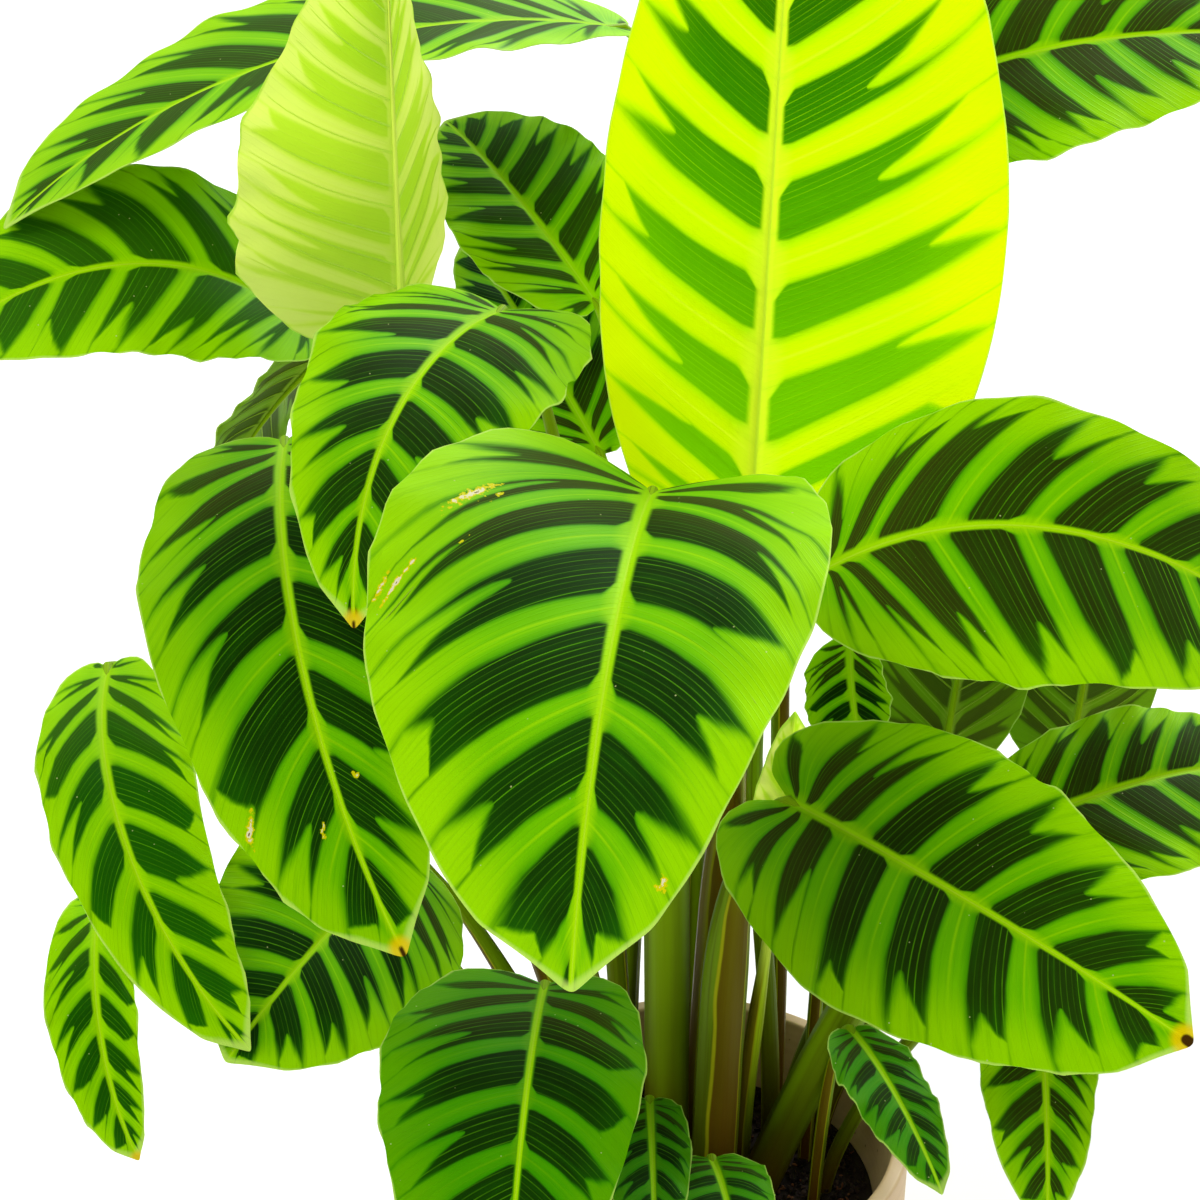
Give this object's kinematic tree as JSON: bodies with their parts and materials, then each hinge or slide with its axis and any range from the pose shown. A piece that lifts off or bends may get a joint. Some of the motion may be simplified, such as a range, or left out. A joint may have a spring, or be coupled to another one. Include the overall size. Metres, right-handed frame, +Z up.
{
  "type": "potted calathea",
  "caption": "House plant with broad zebra-striped oval leaves on upright stalks, in a plain tapered round pot filled with soil.",
  "frame": {"origin": "centre of the pot's flat underside", "axes": "+Z up out of the pot; -Y towards the side that the front leaf hangs over; +X to that viewer's right"},
  "size_m": [0.6109, 0.6154, 0.771],
  "materials": {
    "leaf": "velvety dark green zebra stripes on lime green",
    "leaf_young": "thin bright yellow-green young leaf, faintly glossy",
    "pot": "matt beige-taupe glaze",
    "soil": "dark crumbly potting soil"
  },
  "bodies": {
    "root": {"pot": "pot", "potting_soil": "soil", "leaf_front": "leaf", "leaf_upright_bright": "leaf_young", "leaf_pale_new": "leaf_young", "leaf_mid_left": "leaf", "leaf_left": "leaf", "leaf_low_left": "leaf", "leaf_hanging_left": "leaf", "leaf_under_left": "leaf", "leaf_bottom": "leaf", "leaf_right_low": "leaf", "leaf_right_mid": "leaf", "leaf_far_right": "leaf", "leaf_pot_right": "leaf", "leaf_hanging_right": "leaf", "leaf_upper_left": "leaf", "leaf_top_left": "leaf", "leaf_upper_mid": "leaf", "leaf_top_right": "leaf", "leaf_behind": "leaf", "leaf_left_back": "leaf", "leaf_small_dark": "leaf", "leaf_back_right": "leaf", "leaf_back_far_right": "leaf", "leaf_rolled_young": "leaf_young", "leaf_pot_front": "leaf", "leaf_pot_mid": "leaf", "leaf_back_tall": "leaf", "leaf_back_low": "leaf", "leaf_back_left": "leaf"}
  },
  "joints": []
}
